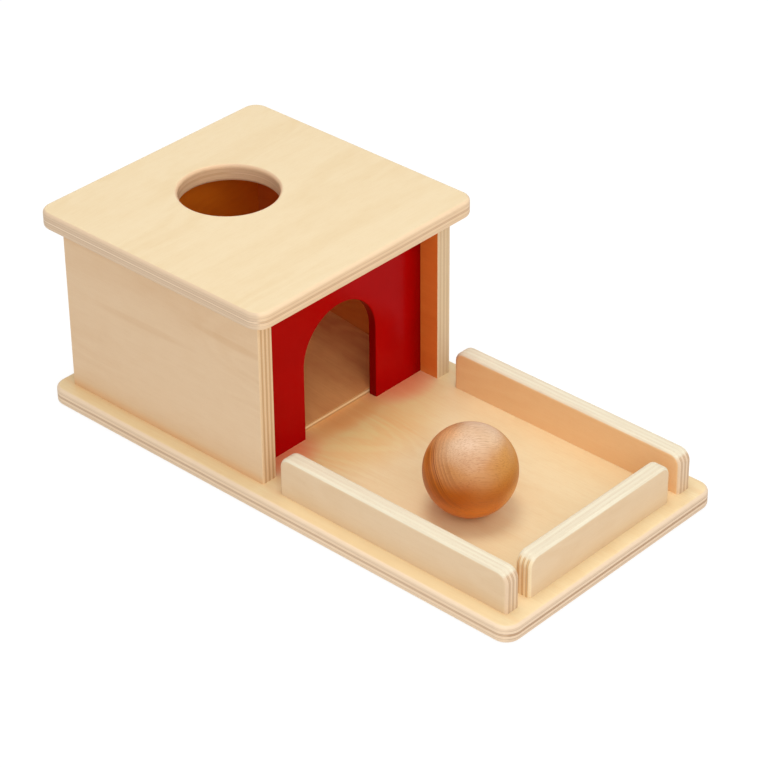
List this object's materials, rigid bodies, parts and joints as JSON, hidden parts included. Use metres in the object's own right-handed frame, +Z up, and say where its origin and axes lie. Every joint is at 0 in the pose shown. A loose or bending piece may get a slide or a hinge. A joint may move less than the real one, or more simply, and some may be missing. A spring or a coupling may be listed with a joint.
{
  "type": "object permanence box",
  "caption": "Wooden toddler toy: a ball dropped through the hole in the lid rolls down an inner ramp, out of the doorway in the red front panel and into a railed tray.",
  "frame": {"origin": "under the middle of the base plate, on the surface that it stands on", "axes": "+X along the base from the box towards the tray's end rail, +Y across towards the far rail, +Z up"},
  "size_m": [0.3, 0.15, 0.11],
  "materials": {
    "plywood": "clear satin varnish",
    "thin_plywood": "clear satin varnish",
    "red_lacquer": "gloss red lacquer",
    "ball_wood": "clear satin varnish",
    "dowel_wood": "bare",
    "screw_steel": "zinc plated"
  },
  "bodies": {
    "box": {"base_plate": "plywood", "near_wall": "plywood", "far_wall": "plywood", "back_wall": "plywood", "front_panel": "red_lacquer", "lid": "plywood", "ramp": "thin_plywood", "ramp_cleat": "thin_plywood", "near_rail": "plywood", "far_rail": "plywood", "end_rail": "plywood", "base_screws": "screw_steel", "lid_dowels": "dowel_wood", "back_dowels": "dowel_wood"},
    "rolling_ball": {"ball": "ball_wood"}
  },
  "joints": [
    {"name": "ball_roll", "type": "slide", "parent": "box", "child": "rolling_ball", "axis": [0.9863, -0.1649, 0], "range_m": [-0.093, 0.0333]}
  ]
}
